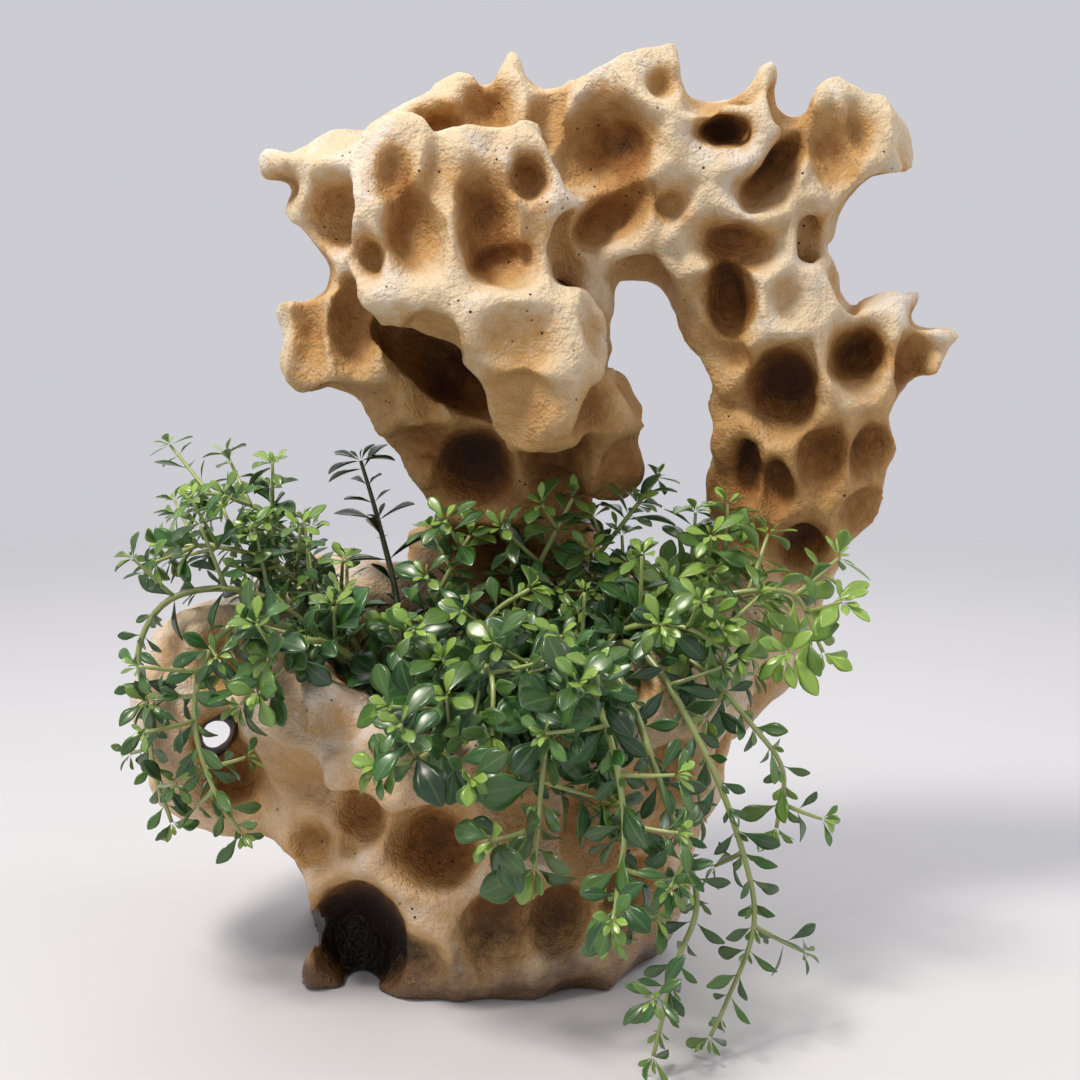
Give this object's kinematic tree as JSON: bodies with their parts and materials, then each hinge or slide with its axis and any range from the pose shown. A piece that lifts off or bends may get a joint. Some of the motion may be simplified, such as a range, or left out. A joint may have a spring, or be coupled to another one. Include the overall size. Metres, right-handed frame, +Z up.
{
  "type": "planted tufa rock",
  "caption": "Cream tufa stone, hollowed all over, with a bowl-shaped foot, an open arch above it, and a soil pocket planted with small-leaved creeping sprigs.",
  "frame": {"origin": "on the surface that the stone rests on, at the middle of its flat foot", "axes": "+Z up, +X to the viewer's right as the arch's window faces the viewer, +Y away from the viewer"},
  "size_m": [0.1481, 0.0994, 0.164],
  "materials": {
    "tufa": "matte",
    "soil": "matte",
    "foliage": "satin"
  },
  "bodies": {
    "root": {"rock": "tufa", "soil": "soil", "sprig_back_left": "foliage", "sprig_left_high": "foliage", "sprig_left_far": "foliage", "sprig_left_outer": "foliage", "sprig_left_inner": "foliage", "sprig_front_left": "foliage", "sprig_front_stem": "foliage", "sprig_front_low": "foliage", "sprig_middle_left": "foliage", "sprig_middle": "foliage", "sprig_middle_front": "foliage", "sprig_front_centre": "foliage", "sprig_front_right": "foliage", "sprig_right_hanging": "foliage", "sprig_right_long": "foliage", "sprig_front_bottom": "foliage", "sprig_right_high": "foliage", "sprig_right_middle": "foliage", "sprig_right_tip": "foliage", "sprig_right_low": "foliage", "sprig_middle_back": "foliage"}
  },
  "joints": []
}
